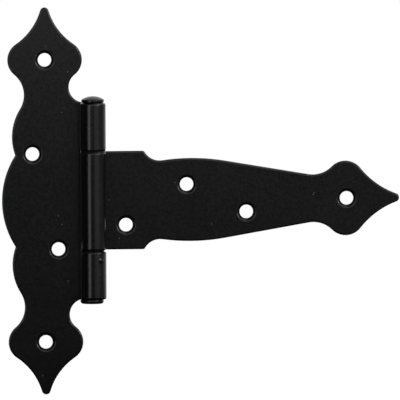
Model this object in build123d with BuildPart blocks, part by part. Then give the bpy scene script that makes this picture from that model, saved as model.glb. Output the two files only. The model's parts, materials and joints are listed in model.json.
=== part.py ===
"""Decorative strap hinge, in millimetres.

A scalloped frame leaf and a long tapering strap leaf, each folded from one sheet, turn about one headed pin.
The pin runs along Z with Z = 0 at mid height, and the strap points along +X. The backs of both leaves lie in
the plane Y = 0, so the front of the hinge is seen by looking along +Y.
"""
import os
from math import acos, asin, degrees, sqrt

from build123d import *

# Sheet, pin and barrel
sheet = 2.0  # thickness of both leaves
pin_radius = 3.0
pin_clearance = 0.05  # radial, between the pin and the rolled knuckles
barrel_half = 38.3  # from mid height to the end of the barrel
middle_knuckle_half = 19.2  # half length of the strap's knuckle
knuckle_gap = 0.6  # along the pin, between neighbouring knuckles
slot_clearance = 0.4  # radial, between the middle knuckle and the frame leaf's edge
seam_gap = 0.35  # left open where a knuckle's free edge comes back to its leaf

# Pin ends, which reach past the shank: a domed head, and a tail that was hammered flat a little off centre
head_gap = 0.05  # left between the head and the barrel
head_overhang = 1.45
head_rim = 1.25
head_dome = 1.34
head_upper_round = 0.3
head_lower_round = 0.75
tail_shift = -0.6  # across, from the pin's axis
tail_overhang = 1.55
tail_rim = 1.6
tail_dome = 0.2
tail_upper_round = 0.5
tail_lower_round = 1.05

# Finials that both leaves end in
finial_half_width = 14.55
finial_lobe_radius = 7.45
finial_tip_radius = 1.7

# Frame leaf, measured across from the centre line of its two finials
frame_centre_x = -18.4
frame_finial_rise = 16.7  # from the barrel's end to the finial's widest place
frame_finial_length = 20.5  # from the widest place to the tip
frame_flank_radius = 24.3
inner_neck_radius = 6.05
outer_neck_offset = 8.15
outer_neck_radius = 10.3
shoulder_offset = 12.9
shoulder_radius = 20.6
belly_offset = 16.9
belly_radius = 33.0
cusp_round = 0.6
slot_corner_round = 0.4

# Strap leaf, measured along from the pin and out from its own centre line
hollow_x = 26.35
hollow_depth = 3.85  # from the block's edge in to the bottom of the hollow
hollow_radius = 6.85
strap_swell = 0.85  # from the bottom of the hollow out to the widest place
strap_swell_radius = 79.0
strap_neck_half_width = 9.3
strap_neck_radius = 10.4
strap_finial_x = 98.75
strap_finial_length = 20.95
strap_flank_radius = 32.0
block_corner_round = 1.0

# Screw holes
hole_radius = 2.65
countersink_radius = 3.6
countersink_angle = 90
countersink_rim_round = 0.8
frame_upper_hole = (-4.9, 18.3)  # across from the finials' centre line, and up
frame_lower_hole = (5.1, -18.85)
strap_block_hole = (13.05, -9.6)  # along from the pin, and up
strap_wide_hole = (36.8, 6.0)
strap_taper_hole = (60.05, -4.9)
strap_finial_hole_shift = 0.45  # towards the tip, from the finial's widest place

# Edges, and the tack weld that holds the pin in the lower knuckle
front_edge_round = 0.7  # round the front of each sheet, and inside its roll
back_edge_round = 0.8  # round the back, and outside the roll
slot_edge_round = 0.55  # round the frame leaf's slot, and the knuckles' ends beside it
tack_radius = 1.25
tack_rise = 0.35
tack_angle = 32.0  # round the barrel from its front, towards the strap
tack_height = 15.35  # above the barrel's lower end

same_place = 1e-6  # how near two places are that count as one
bore_radius = pin_radius + pin_clearance
barrel_radius = bore_radius + sheet
pin_y = -barrel_radius
pin_axis = Axis((0, pin_y, 0), (0, 0, 1))
outer_knuckle_start = middle_knuckle_half + knuckle_gap
lobe_offset = finial_half_width - finial_lobe_radius
frame_finial_z = barrel_half + frame_finial_rise


def touch(centre_a, radius_a, centre_b, radius_b):
    """The point where two circles touch from outside."""
    return centre_a + (centre_b - centre_a) * (radius_a / (radius_a + radius_b))


def meet(centre_a, radius_a, centre_b, radius_b):
    """The point where two circles cross, on the left of the way from a to b."""
    gap = (centre_b - centre_a).length
    way = (centre_b - centre_a) / gap
    along = (radius_a**2 - radius_b**2 + gap**2) / (2 * gap)
    across = sqrt(radius_a**2 - along**2)
    return centre_a + way * along + Vector(-way.Y, way.X) * across


def leg(long_side, other_side):
    """The remaining side of a right-angled triangle."""
    return sqrt(long_side**2 - other_side**2)


def finial_half(widest, across, tip, flank_radius, neck, neck_radius):
    """Half a finial, from its tip by the hollow flank and the lobe to the neck. Returns its last arc."""
    length = (tip - widest).length
    along = (tip - widest) / length
    tip_centre = Vector(0, length - finial_tip_radius)
    lobe_centre = Vector(lobe_offset, 0)
    flank_centre = meet(
        tip_centre,
        finial_tip_radius + flank_radius,
        lobe_centre,
        finial_lobe_radius + flank_radius,
    )
    tip_end = touch(tip_centre, finial_tip_radius, flank_centre, flank_radius)
    flank_end = touch(lobe_centre, finial_lobe_radius, flank_centre, flank_radius)
    lobe_end = touch(widest + across * lobe_offset, finial_lobe_radius, neck, neck_radius)
    tip_arc = TangentArc(tip, widest + across * tip_end.X + along * tip_end.Y, tangent=across)
    flank = TangentArc(
        tip_arc @ 1,
        widest + across * flank_end.X + along * flank_end.Y,
        tangent=tip_arc % 1,
    )
    return TangentArc(flank @ 1, lobe_end, tangent=flank % 1)


def rolled_section(side):
    """Section of a knuckle: the sheet leaves the back plane behind the pin and is rolled forward round it.

    It starts towards +X where side is 1 and towards -X where side is -1.
    """
    closing = degrees(asin((barrel_radius - sheet - seam_gap) / barrel_radius))
    roll = side * (270 + closing)
    outside = CenterArc((0, pin_y), barrel_radius, 90, -roll)
    inside = CenterArc((0, pin_y), bore_radius, 90, -roll)
    Line(outside @ 0, inside @ 0)
    Line(outside @ 1, inside @ 1)


def sheet_edges(leaf, face_y, roll_radius):
    """The long edges round one face of a folded leaf, along the flat and round the roll."""
    flat = leaf.edges().filter_by_position(Axis.Y, face_y - same_place, face_y + same_place)
    bend_lines = flat.filter_by_position(Axis.X, -same_place, same_place)
    circles = leaf.edges().filter_by(GeomType.CIRCLE)
    coaxial = circles.filter_by(lambda e: pin_axis.is_coaxial(Axis(e.arc_center, (0, 0, 1))))
    round_ends = coaxial.filter_by(lambda e: abs(e.radius - roll_radius) < same_place)
    return flat - bend_lines + round_ends


def slot_edges(edges):
    """Those of the frame leaf's edges that lie round its slot and on the knuckles' ends beside it."""
    slot_half = outer_knuckle_start + same_place
    beside_pin = edges.filter_by_position(Axis.X, slot_x - same_place, barrel_radius)
    return beside_pin.filter_by_position(Axis.Z, -slot_half, slot_half)


def countersink_rims(leaf):
    """The front edges of a leaf's countersunk holes."""
    circles = leaf.edges().filter_by(GeomType.CIRCLE).filter_by(Plane.XZ)
    return circles.filter_by(lambda e: abs(e.radius - countersink_radius) < same_place)


def end_rims(headed_pin):
    """The rims of a pin's tail and head, from the lowest up."""
    circles = headed_pin.edges().filter_by(GeomType.CIRCLE).filter_by(Plane.XY)
    return circles.filter_by(lambda e: e.radius > bore_radius).sort_by(Axis.Z)


def front_plane(place):
    """A plane on the front of a leaf, facing forward, with its origin at a place given across and up."""
    return Plane(origin=(place[0], -sheet, place[1]), x_dir=(1, 0, 0), z_dir=(0, -1, 0))


# Arc centres of the frame leaf's upper half, and its slot, whose edge lies hidden under the middle knuckle
frame_widest = Vector(frame_centre_x, frame_finial_z)
frame_tip = frame_widest + Vector(0, frame_finial_length)
outer_neck_x = frame_centre_x - outer_neck_offset - outer_neck_radius
outer_neck_drop = leg(finial_lobe_radius + outer_neck_radius, frame_centre_x - lobe_offset - outer_neck_x)
outer_neck = Vector(outer_neck_x, frame_finial_z - outer_neck_drop)
shoulder_x = frame_centre_x - shoulder_offset + shoulder_radius
shoulder_drop = leg(outer_neck_radius + shoulder_radius, shoulder_x - outer_neck_x)
shoulder = Vector(shoulder_x, outer_neck.Y - shoulder_drop)
belly = Vector(frame_centre_x - belly_offset + belly_radius, 0)
cusp = meet(belly, belly_radius, shoulder, shoulder_radius)
inner_neck_z = barrel_half + inner_neck_radius
inner_neck_run = leg(finial_lobe_radius + inner_neck_radius, frame_finial_z - inner_neck_z)
inner_neck = Vector(frame_centre_x + lobe_offset + inner_neck_run, inner_neck_z)
slot_x = -leg(barrel_radius + slot_clearance, barrel_radius - sheet)
frame_holes = [
    (frame_centre_x, frame_finial_z),
    (frame_centre_x + frame_upper_hole[0], frame_upper_hole[1]),
    (frame_centre_x + frame_lower_hole[0], frame_lower_hole[1]),
    (frame_centre_x, -frame_finial_z),
]

with BuildPart() as frame_leaf:
    with BuildSketch(Plane.XZ) as frame_outline:
        with BuildLine():
            outer_lobe = finial_half(
                frame_widest,
                Vector(-1, 0),
                frame_tip,
                frame_flank_radius,
                outer_neck,
                outer_neck_radius,
            )
            neck = TangentArc(
                outer_lobe @ 1,
                touch(outer_neck, outer_neck_radius, shoulder, shoulder_radius),
                tangent=outer_lobe % 1,
            )
            TangentArc(neck @ 1, cusp, tangent=neck % 1)
            TangentArc((belly.X - belly_radius, 0), cusp, tangent=(0, 1))
            inner_lobe = finial_half(
                frame_widest,
                Vector(1, 0),
                frame_tip,
                frame_flank_radius,
                inner_neck,
                inner_neck_radius,
            )
            TangentArc(inner_lobe @ 1, (inner_neck.X, barrel_half), tangent=inner_lobe % 1)
            Polyline(
                (inner_neck.X, barrel_half),
                (0, barrel_half),
                (0, outer_knuckle_start),
                (slot_x, outer_knuckle_start),
                (slot_x, 0),
            )
            mirror(about=Plane.XZ)
        make_face()
        for way in (1, -1):
            fillet(frame_outline.vertices().sort_by_distance((cusp.X, way * cusp.Y))[0], cusp_round)
            slot_corner = (slot_x, way * outer_knuckle_start)
            fillet(frame_outline.vertices().sort_by_distance(slot_corner)[0], slot_corner_round)
    extrude(amount=sheet)
    for knuckle_start in (outer_knuckle_start, -barrel_half):
        with BuildSketch(Plane.XY.offset(knuckle_start)):
            with BuildLine():
                rolled_section(1)
            make_face()
        extrude(amount=barrel_half - outer_knuckle_start)
    back_edges = sheet_edges(frame_leaf, 0, barrel_radius)
    fillet(back_edges - slot_edges(back_edges), back_edge_round)
    front_edges = sheet_edges(frame_leaf, -sheet, bore_radius)
    fillet(front_edges - slot_edges(front_edges), front_edge_round)
    fillet(slot_edges(sheet_edges(frame_leaf, 0, barrel_radius)), slot_edge_round)
    fillet(slot_edges(sheet_edges(frame_leaf, -sheet, bore_radius)), slot_edge_round)
    with Locations(*[front_plane(place) for place in frame_holes]):
        CounterSinkHole(hole_radius, countersink_radius, counter_sink_angle=countersink_angle)
    fillet(countersink_rims(frame_leaf), countersink_rim_round)
    tack_way = Vector(0, -1, 0).rotate(Axis.Z, tack_angle)
    tack_middle = Vector(0, pin_y, tack_height - barrel_half)
    tack_root = barrel_radius - sheet / 2
    tack_crest = barrel_radius + tack_rise
    with BuildSketch(Plane(origin=tack_middle, x_dir=tack_way, z_dir=tack_way.cross(Vector(0, 0, 1)))):
        with BuildLine():
            TangentArc((tack_crest, 0), (barrel_radius, tack_radius), tangent=(0, 1))
            Polyline(
                (barrel_radius, tack_radius),
                (tack_root, tack_radius),
                (tack_root, 0),
                (tack_crest, 0),
            )
        make_face()
    revolve(axis=Axis(tack_middle, tack_way))
frame_leaf.part.label = "frame_leaf"

# Arc centres and the straight taper of the strap's upper half
hollow_half_width = middle_knuckle_half - hollow_depth
hollow = Vector(hollow_x, hollow_half_width + hollow_radius)
block_corner = Vector(hollow_x - leg(hollow_radius, hollow.Y - middle_knuckle_half), middle_knuckle_half)
swell_y = hollow_half_width + strap_swell - strap_swell_radius
swell = Vector(hollow_x + leg(hollow_radius + strap_swell_radius, hollow.Y - swell_y), swell_y)
strap_widest = Vector(strap_finial_x, 0)
strap_tip = strap_widest + Vector(strap_finial_length, 0)
strap_neck_y = strap_neck_half_width + strap_neck_radius
strap_neck_run = leg(finial_lobe_radius + strap_neck_radius, strap_neck_y - lobe_offset)
strap_neck = Vector(strap_finial_x - strap_neck_run, strap_neck_y)
between = strap_neck - swell
taper_turn = degrees(acos((strap_swell_radius + strap_neck_radius) / between.length))
taper_normal = between.normalized().rotate(Axis.Z, taper_turn)
taper_start = swell + taper_normal * strap_swell_radius
taper_end = strap_neck - taper_normal * strap_neck_radius
strap_finial_hole = (strap_finial_x + strap_finial_hole_shift, 0)
strap_holes = [strap_block_hole, strap_wide_hole, strap_taper_hole, strap_finial_hole]

with BuildPart() as strap_leaf:
    with BuildSketch(Plane.XZ) as strap_outline:
        with BuildLine():
            lobe = finial_half(
                strap_widest,
                Vector(0, 1),
                strap_tip,
                strap_flank_radius,
                strap_neck,
                strap_neck_radius,
            )
            TangentArc(lobe @ 1, taper_end, tangent=lobe % 1)
            taper = Line(taper_end, taper_start)
            swell_arc = TangentArc(
                taper_start,
                touch(swell, strap_swell_radius, hollow, hollow_radius),
                tangent=taper % 1,
            )
            TangentArc(swell_arc @ 1, block_corner, tangent=swell_arc % 1)
            Polyline(block_corner, (0, middle_knuckle_half), (0, 0))
            mirror(about=Plane.XZ)
        make_face()
        for way in (1, -1):
            corner = (block_corner.X, way * block_corner.Y)
            fillet(strap_outline.vertices().sort_by_distance(corner)[0], block_corner_round)
    extrude(amount=sheet)
    with BuildSketch(Plane.XY.offset(-middle_knuckle_half)):
        with BuildLine():
            rolled_section(-1)
        make_face()
    extrude(amount=2 * middle_knuckle_half)
    fillet(sheet_edges(strap_leaf, 0, barrel_radius), back_edge_round)
    fillet(sheet_edges(strap_leaf, -sheet, bore_radius), front_edge_round)
    with Locations(*[front_plane(place) for place in strap_holes]):
        CounterSinkHole(hole_radius, countersink_radius, counter_sink_angle=countersink_angle)
    fillet(countersink_rims(strap_leaf), countersink_rim_round)
strap_leaf.part.label = "strap_leaf"

head_radius = pin_radius + head_overhang
head_seat = barrel_half + head_gap
head_shoulder = head_seat + head_rim
tail_edge_x = tail_shift + pin_radius + tail_overhang
tail_shoulder = -barrel_half - tail_rim
tail_end = tail_shoulder - tail_dome

with BuildPart() as pin:
    with BuildSketch(Plane.XZ.offset(barrel_radius)):
        with BuildLine():
            TangentArc((0, head_shoulder + head_dome), (head_radius, head_shoulder), tangent=(1, 0))
            Polyline(
                (head_radius, head_shoulder),
                (head_radius, head_seat),
                (pin_radius, head_seat),
                (pin_radius, -barrel_half),
                (0, -barrel_half),
                (0, head_shoulder + head_dome),
            )
        make_face()
    revolve(axis=pin_axis)
    with BuildSketch(Plane.XZ.offset(barrel_radius)):
        with BuildLine():
            TangentArc((tail_shift, tail_end), (tail_edge_x, tail_shoulder), tangent=(1, 0))
            Polyline(
                (tail_edge_x, tail_shoulder),
                (tail_edge_x, -barrel_half),
                (tail_shift, -barrel_half),
                (tail_shift, tail_end),
            )
        make_face()
    revolve(axis=Axis((tail_shift, pin_y, 0), (0, 0, 1)))
    fillet(end_rims(pin)[-1], head_upper_round)
    fillet(end_rims(pin)[2], head_lower_round)
    fillet(end_rims(pin)[1], tail_upper_round)
    fillet(end_rims(pin)[0], tail_lower_round)
pin.part.label = "pin"

os.makedirs("parts", exist_ok=True)
export_step(frame_leaf.part, "parts/frame_leaf.step")
export_step(strap_leaf.part, "parts/strap_leaf.step")
export_step(pin.part, "parts/pin.step")
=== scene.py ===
"""Looks of the decorative strap hinge: a satin black coat under soft studio light.

Everything is in metres, in the part's own frame: the pin runs along Z, the strap points along +X and the
front of the hinge faces -Y.
"""
import json
from math import cos, pi, radians, sin

import bmesh
import bpy
from mathutils import Euler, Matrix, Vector

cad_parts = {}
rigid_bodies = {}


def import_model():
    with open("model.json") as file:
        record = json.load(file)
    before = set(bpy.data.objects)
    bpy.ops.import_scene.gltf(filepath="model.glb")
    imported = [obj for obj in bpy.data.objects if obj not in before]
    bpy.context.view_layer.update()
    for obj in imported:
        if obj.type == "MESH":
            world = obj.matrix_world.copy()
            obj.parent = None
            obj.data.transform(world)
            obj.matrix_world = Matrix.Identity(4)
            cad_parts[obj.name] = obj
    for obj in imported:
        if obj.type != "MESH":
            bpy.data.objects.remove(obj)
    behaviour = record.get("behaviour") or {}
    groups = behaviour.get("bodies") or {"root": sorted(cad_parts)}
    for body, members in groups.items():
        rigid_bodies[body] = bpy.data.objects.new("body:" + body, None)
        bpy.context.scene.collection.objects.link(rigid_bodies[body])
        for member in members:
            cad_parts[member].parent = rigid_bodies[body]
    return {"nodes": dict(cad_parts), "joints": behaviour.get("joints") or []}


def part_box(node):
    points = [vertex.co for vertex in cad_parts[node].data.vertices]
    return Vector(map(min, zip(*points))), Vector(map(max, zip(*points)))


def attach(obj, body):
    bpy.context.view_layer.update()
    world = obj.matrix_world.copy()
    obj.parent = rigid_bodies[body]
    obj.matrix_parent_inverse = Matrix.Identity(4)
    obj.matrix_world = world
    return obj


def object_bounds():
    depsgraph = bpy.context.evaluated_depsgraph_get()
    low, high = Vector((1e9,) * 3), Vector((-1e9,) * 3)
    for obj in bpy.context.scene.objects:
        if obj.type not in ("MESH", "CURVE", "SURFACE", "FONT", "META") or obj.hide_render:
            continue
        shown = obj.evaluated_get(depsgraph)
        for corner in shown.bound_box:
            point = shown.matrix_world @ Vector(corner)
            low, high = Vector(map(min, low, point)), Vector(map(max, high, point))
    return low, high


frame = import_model()
cad_lowest, cad_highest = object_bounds()
pin_middle = Vector(frame["joints"][0]["pos_m"])

# Camera. It stands a little to the left of straight ahead and a little above.
photo_pixels = 400
view_width = 0.15571  # what the photograph's frame takes in, across
pin_pixel = (93.15, 201.09)  # where the middle of the pin's axis shows
camera_turn = radians(-4.2)  # from straight ahead; towards the strap is positive
camera_rise = radians(3.8)
camera_roll = radians(0.30)  # the hinge hangs a little anticlockwise
camera_distance = 1.0

# Lamps, by how bright they look: 1 is white. Turns are from straight ahead; towards the strap is positive.
side_lamp_distance = 4.0
strip_turn = radians(-37)
strip_size = (1.44, 4.8)
strip_radiance = 1.45
panel_turn = radians(27)
panel_size = (2.68, 4.0)
panel_radiance = 0.32
key_turn = radians(48)
key_rise = radians(15)
key_size = (1.35, 1.15)
key_radiance = 7.0
top_place = Vector((0.32, 0.02, 0.65))
top_size = (0.55, 0.45)
top_radiance = 1.2
card_place = Vector((-0.01, -0.55, 0.213))
card_size = (0.70, 0.36)
card_radiance = 0.8

# Surroundings, by how bright they look
white = (1, 1, 1, 1)
room_left = 0.01
room_right = 0.04
room_far_right = 0.20
room_overhead_left = 0.08
room_overhead_right = 0.34
room_behind = 1.0
room_below = 0.35  # as a share of the brightness at eye level
eye_level = 1.0

# Where the surroundings change, by the X, Y or Z of the direction, from -1 to 1
left_to_right = (-0.7, 0.0)
right_to_far_right = (0.6, 0.95)
overhead_left_to_right = (-0.5, 0.2)
ahead_to_overhead = (0.15, 0.7)
ahead_to_behind = (0.0, 0.85)
below_to_eye_level = (-0.6, 0.1)

# Floor
floor_radius = 0.22
floor_sides = 96
floor_gap = 0.0002  # under the lowest tip
floor_glow = 0.72  # to the camera alone
floor_tone = 0.6  # to the camera
floor_shade = 0.04  # to the hinge

# Coat
noise_reach = (0.3, 0.7)  # holds nearly all of a noise's values
mask_reach = (0.0, 1.0)
coat_dark = 0.0030
coat_pale = 0.0048
coat_cloud_scale = 60.0
coat_cloud_detail = 3.0
coat_smooth = 0.20
coat_rough = 0.26
coat_grain_scale = 900.0
coat_grain_detail = 2.0
peel_scale = 450.0
peel_detail = 1.0
peel_strength = 1.0
peel_height = 5e-6
dust_scale = 500.0
dust_edge = 0.16  # a speck's radius, as a share of the space between two specks
dust_core = 0.08
dust_share = 0.10  # of all places for a speck
dust_tone = 0.11

# Dark rings of the coat that close the gaps between the knuckles, painted shade where the gaps lie in
# shadow, by how far they reach from the pin's axis
upper_shade_ring_reach = {"left": 0.0049, "right": 0.0050, "front": 0.0045}
lower_shade_ring_reach = {"left": 0.00495, "right": 0.00435, "front": 0.0043}
shade_ring_hollow = 0.04  # of its reach, half way between the knuckles
shade_ring_lap = 0.00001  # into the knuckles' ends
shade_ring_sides = 96
knuckle_gap = 0.0006
pin_radius = 0.003


def add_node(tree, kind, inputs=(), **settings):
    """Adds a node. Its inputs are given by name or number, each a value or another node's output."""
    made = tree.nodes.new(kind)
    for name, value in settings.items():
        setattr(made, name, value)
    for key, value in dict(inputs).items():
        if isinstance(value, bpy.types.NodeSocket):
            tree.links.new(value, made.inputs[key])
        else:
            made.inputs[key].default_value = value
    return made


def ease(tree, value, reach, low, high):
    """A value eased from low to high while another goes from one end of its reach to the other."""
    start, end = reach
    inputs = {"Value": value, "From Min": start, "From Max": end, "To Min": low, "To Max": high}
    return add_node(tree, "ShaderNodeMapRange", inputs, interpolation_type="SMOOTHSTEP").outputs[0]


def calculate(tree, operation, first, second):
    return add_node(tree, "ShaderNodeMath", {0: first, 1: second}, operation=operation).outputs[0]


def noise(tree, where, scale, detail):
    inputs = {"Vector": where, "Scale": scale, "Detail": detail}
    return add_node(tree, "ShaderNodeTexNoise", inputs).outputs["Fac"]


def place_camera():
    """An orthographic camera, because the photograph shows no perspective."""
    level = Euler((pi / 2 - camera_rise, 0, camera_turn)).to_matrix()
    turn = level @ Euler((0, 0, -camera_roll)).to_matrix()
    right, up, back = turn.col
    pixel = view_width / photo_pixels
    across = (photo_pixels / 2 - pin_pixel[0]) * pixel
    above = (pin_pixel[1] - photo_pixels / 2) * pixel
    data = bpy.data.cameras.new("camera")
    data.type = "ORTHO"
    data.ortho_scale = view_width
    camera = bpy.data.objects.new("camera", data)
    camera.location = pin_middle + right * across + up * above + back * camera_distance
    camera.rotation_euler = turn.to_euler()
    bpy.context.scene.collection.objects.link(camera)
    bpy.context.scene.camera = camera


def add_lamp(name, place, size, radiance):
    """A soft rectangular lamp that looks at the origin and shows only in what it lights."""
    width, height = size
    data = bpy.data.lights.new(name, "AREA")
    data.shape = "RECTANGLE"
    data.size = width
    data.size_y = height
    data.energy = radiance * pi * width * height
    lamp = bpy.data.objects.new(name, data)
    lamp.location = place
    lamp.rotation_euler = (-place).to_track_quat("-Z", "Y").to_euler()
    lamp.visible_camera = False
    bpy.context.scene.collection.objects.link(lamp)


def beside(turn, rise=0.0):
    """A side lamp's place, turned round the origin from straight ahead and then raised."""
    return Vector((sin(turn) * cos(rise), -cos(turn) * cos(rise), sin(rise))) * side_lamp_distance


def light_world():
    """White to the camera and behind the hinge, dim in front of it, and dimmest at the left."""
    world = bpy.data.worlds.new("studio")
    bpy.context.scene.world = world
    world.use_nodes = True
    tree = world.node_tree
    tree.nodes.clear()
    where = add_node(tree, "ShaderNodeTexCoord").outputs["Generated"]
    axes = add_node(tree, "ShaderNodeSeparateXYZ", {0: where}).outputs
    ahead = ease(tree, axes["X"], left_to_right, room_left, room_right)
    ahead = ease(tree, axes["X"], right_to_far_right, ahead, room_far_right)
    overhead = ease(tree, axes["X"], overhead_left_to_right, room_overhead_left, room_overhead_right)
    ahead = ease(tree, axes["Z"], ahead_to_overhead, ahead, overhead)
    around = ease(tree, axes["Y"], ahead_to_behind, ahead, room_behind)
    share = ease(tree, axes["Z"], below_to_eye_level, room_below, eye_level)
    room = calculate(tree, "MULTIPLY", around, share)
    camera_ray = add_node(tree, "ShaderNodeLightPath").outputs["Is Camera Ray"]
    shown = calculate(tree, "MAXIMUM", room, camera_ray)
    light = add_node(tree, "ShaderNodeBackground", {"Color": white, "Strength": shown})
    add_node(tree, "ShaderNodeOutputWorld", {"Surface": light.outputs[0]})


def new_material(name):
    material = bpy.data.materials.new(name)
    material.use_nodes = True
    material.node_tree.nodes.clear()
    return material


def make_floor():
    """A round pale floor under the lowest tip. It can't be seen from below."""
    bpy.ops.mesh.primitive_circle_add(
        vertices=floor_sides,
        radius=floor_radius,
        fill_type="NGON",
        location=(0, 0, cad_lowest.z - floor_gap),
    )
    floor = bpy.context.object
    floor.name = "floor"
    material = new_material("pale_floor")
    tree = material.node_tree
    camera_ray = add_node(tree, "ShaderNodeLightPath").outputs["Is Camera Ray"]
    tone = ease(tree, camera_ray, mask_reach, floor_shade, floor_tone)
    diffuse = add_node(tree, "ShaderNodeBsdfDiffuse", {"Color": tone})
    strength = calculate(tree, "MULTIPLY", camera_ray, floor_glow)
    glow = add_node(tree, "ShaderNodeEmission", {"Strength": strength})
    upper = add_node(tree, "ShaderNodeAddShader", {0: diffuse.outputs[0], 1: glow.outputs[0]})
    under = add_node(tree, "ShaderNodeBsdfTransparent")
    facing = add_node(tree, "ShaderNodeNewGeometry").outputs["Backfacing"]
    both = add_node(tree, "ShaderNodeMixShader", {0: facing, 1: upper.outputs[0], 2: under.outputs[0]})
    add_node(tree, "ShaderNodeOutputMaterial", {"Surface": both.outputs[0]})
    floor.data.materials.append(material)


def dust(tree, where):
    """A mask of a few specks of dust that dried into the coat."""
    inputs = {"Vector": where, "Scale": dust_scale}
    cells = add_node(tree, "ShaderNodeTexVoronoi", inputs, feature="F1", distance="EUCLIDEAN").outputs
    kept = calculate(tree, "LESS_THAN", cells["Color"], dust_share)
    near = ease(tree, cells["Distance"], (dust_edge, dust_core), *mask_reach)
    return calculate(tree, "MULTIPLY", kept, near)


def make_coat(name):
    """Satin black paint: clouded, with a faint orange peel and a few specks of dust."""
    material = new_material(name)
    tree = material.node_tree
    where = add_node(tree, "ShaderNodeTexCoord").outputs["Object"]
    cloud = noise(tree, where, coat_cloud_scale, coat_cloud_detail)
    grain = noise(tree, where, coat_grain_scale, coat_grain_detail)
    peel = noise(tree, where, peel_scale, peel_detail)
    tone = ease(tree, cloud, noise_reach, coat_dark, coat_pale)
    tone = ease(tree, dust(tree, where), mask_reach, tone, dust_tone)
    rough = ease(tree, grain, noise_reach, coat_smooth, coat_rough)
    relief = {"Height": peel, "Strength": peel_strength, "Distance": peel_height}
    bump = add_node(tree, "ShaderNodeBump", relief).outputs[0]
    finish = {"Base Color": tone, "Roughness": rough, "Normal": bump}
    shader = add_node(tree, "ShaderNodeBsdfPrincipled", finish)
    add_node(tree, "ShaderNodeOutputMaterial", {"Surface": shader.outputs[0]})
    return material


def dress(node, material):
    mesh = frame["nodes"][node].data
    mesh.materials.clear()
    mesh.materials.append(material)


def close_gap_with_shade(name, low, high, reach, material):
    """A dark ring round the pin that closes the gap between two knuckles, hollow on the outside: painted
    shade that stands in for the shadow in the gap.
    """
    middle = (low + high) / 2
    low_lap = low - shade_ring_lap
    high_lap = high + shade_ring_lap
    width = (reach["right"] + reach["left"]) / 2
    shift = (reach["right"] - reach["left"]) / 2
    shape = bmesh.new()
    rings = []
    for side in range(shade_ring_sides):
        turn = 2 * pi * side / shade_ring_sides
        inner = Vector((pin_radius * cos(turn), pin_radius * sin(turn), 0))
        outer = Vector((shift + width * cos(turn), reach["front"] * sin(turn), 0))
        hollow = outer * (1 - shade_ring_hollow)
        corners = [
            (inner, low_lap),
            (outer, low_lap),
            (hollow, middle),
            (outer, high_lap),
            (inner, high_lap),
        ]
        rings.append([shape.verts.new(pin_middle + out + Vector((0, 0, z))) for out, z in corners])
    for ring, after in zip(rings, rings[1:] + rings[:1]):
        for corner in range(len(ring)):
            shape.faces.new((ring[corner - 1], after[corner - 1], after[corner], ring[corner]))
    bmesh.ops.recalc_face_normals(shape, faces=shape.faces)
    mesh = bpy.data.meshes.new(name)
    shape.to_mesh(mesh)
    shape.free()
    mesh.materials.append(material)
    painted_shade_ring = bpy.data.objects.new(name, mesh)
    bpy.context.scene.collection.objects.link(painted_shade_ring)
    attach(painted_shade_ring, "frame")


bpy.context.scene.view_settings.view_transform = "Standard"
for spare in [o for o in bpy.context.scene.objects if o.name in ("Cube", "Camera", "Light")]:
    bpy.data.objects.remove(spare)
place_camera()
add_lamp("strip", beside(strip_turn), strip_size, strip_radiance)
add_lamp("panel", beside(panel_turn), panel_size, panel_radiance)
add_lamp("key", beside(key_turn, key_rise), key_size, key_radiance)
add_lamp("top", top_place, top_size, top_radiance)
add_lamp("card", card_place, card_size, card_radiance)
light_world()
make_floor()
coat = make_coat("satin_black_coat")
for part in ("frame_leaf", "strap_leaf", "pin"):
    dress(part, coat)
knuckle_low, knuckle_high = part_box("strap_leaf")
# Dark rings in the two knuckle gaps: painted shade where the gaps lie in shadow.
close_gap_with_shade("gap_shade_ring_upper", knuckle_high.z, knuckle_high.z + knuckle_gap, upper_shade_ring_reach, coat)
close_gap_with_shade("gap_shade_ring_lower", knuckle_low.z - knuckle_gap, knuckle_low.z, lower_shade_ring_reach, coat)
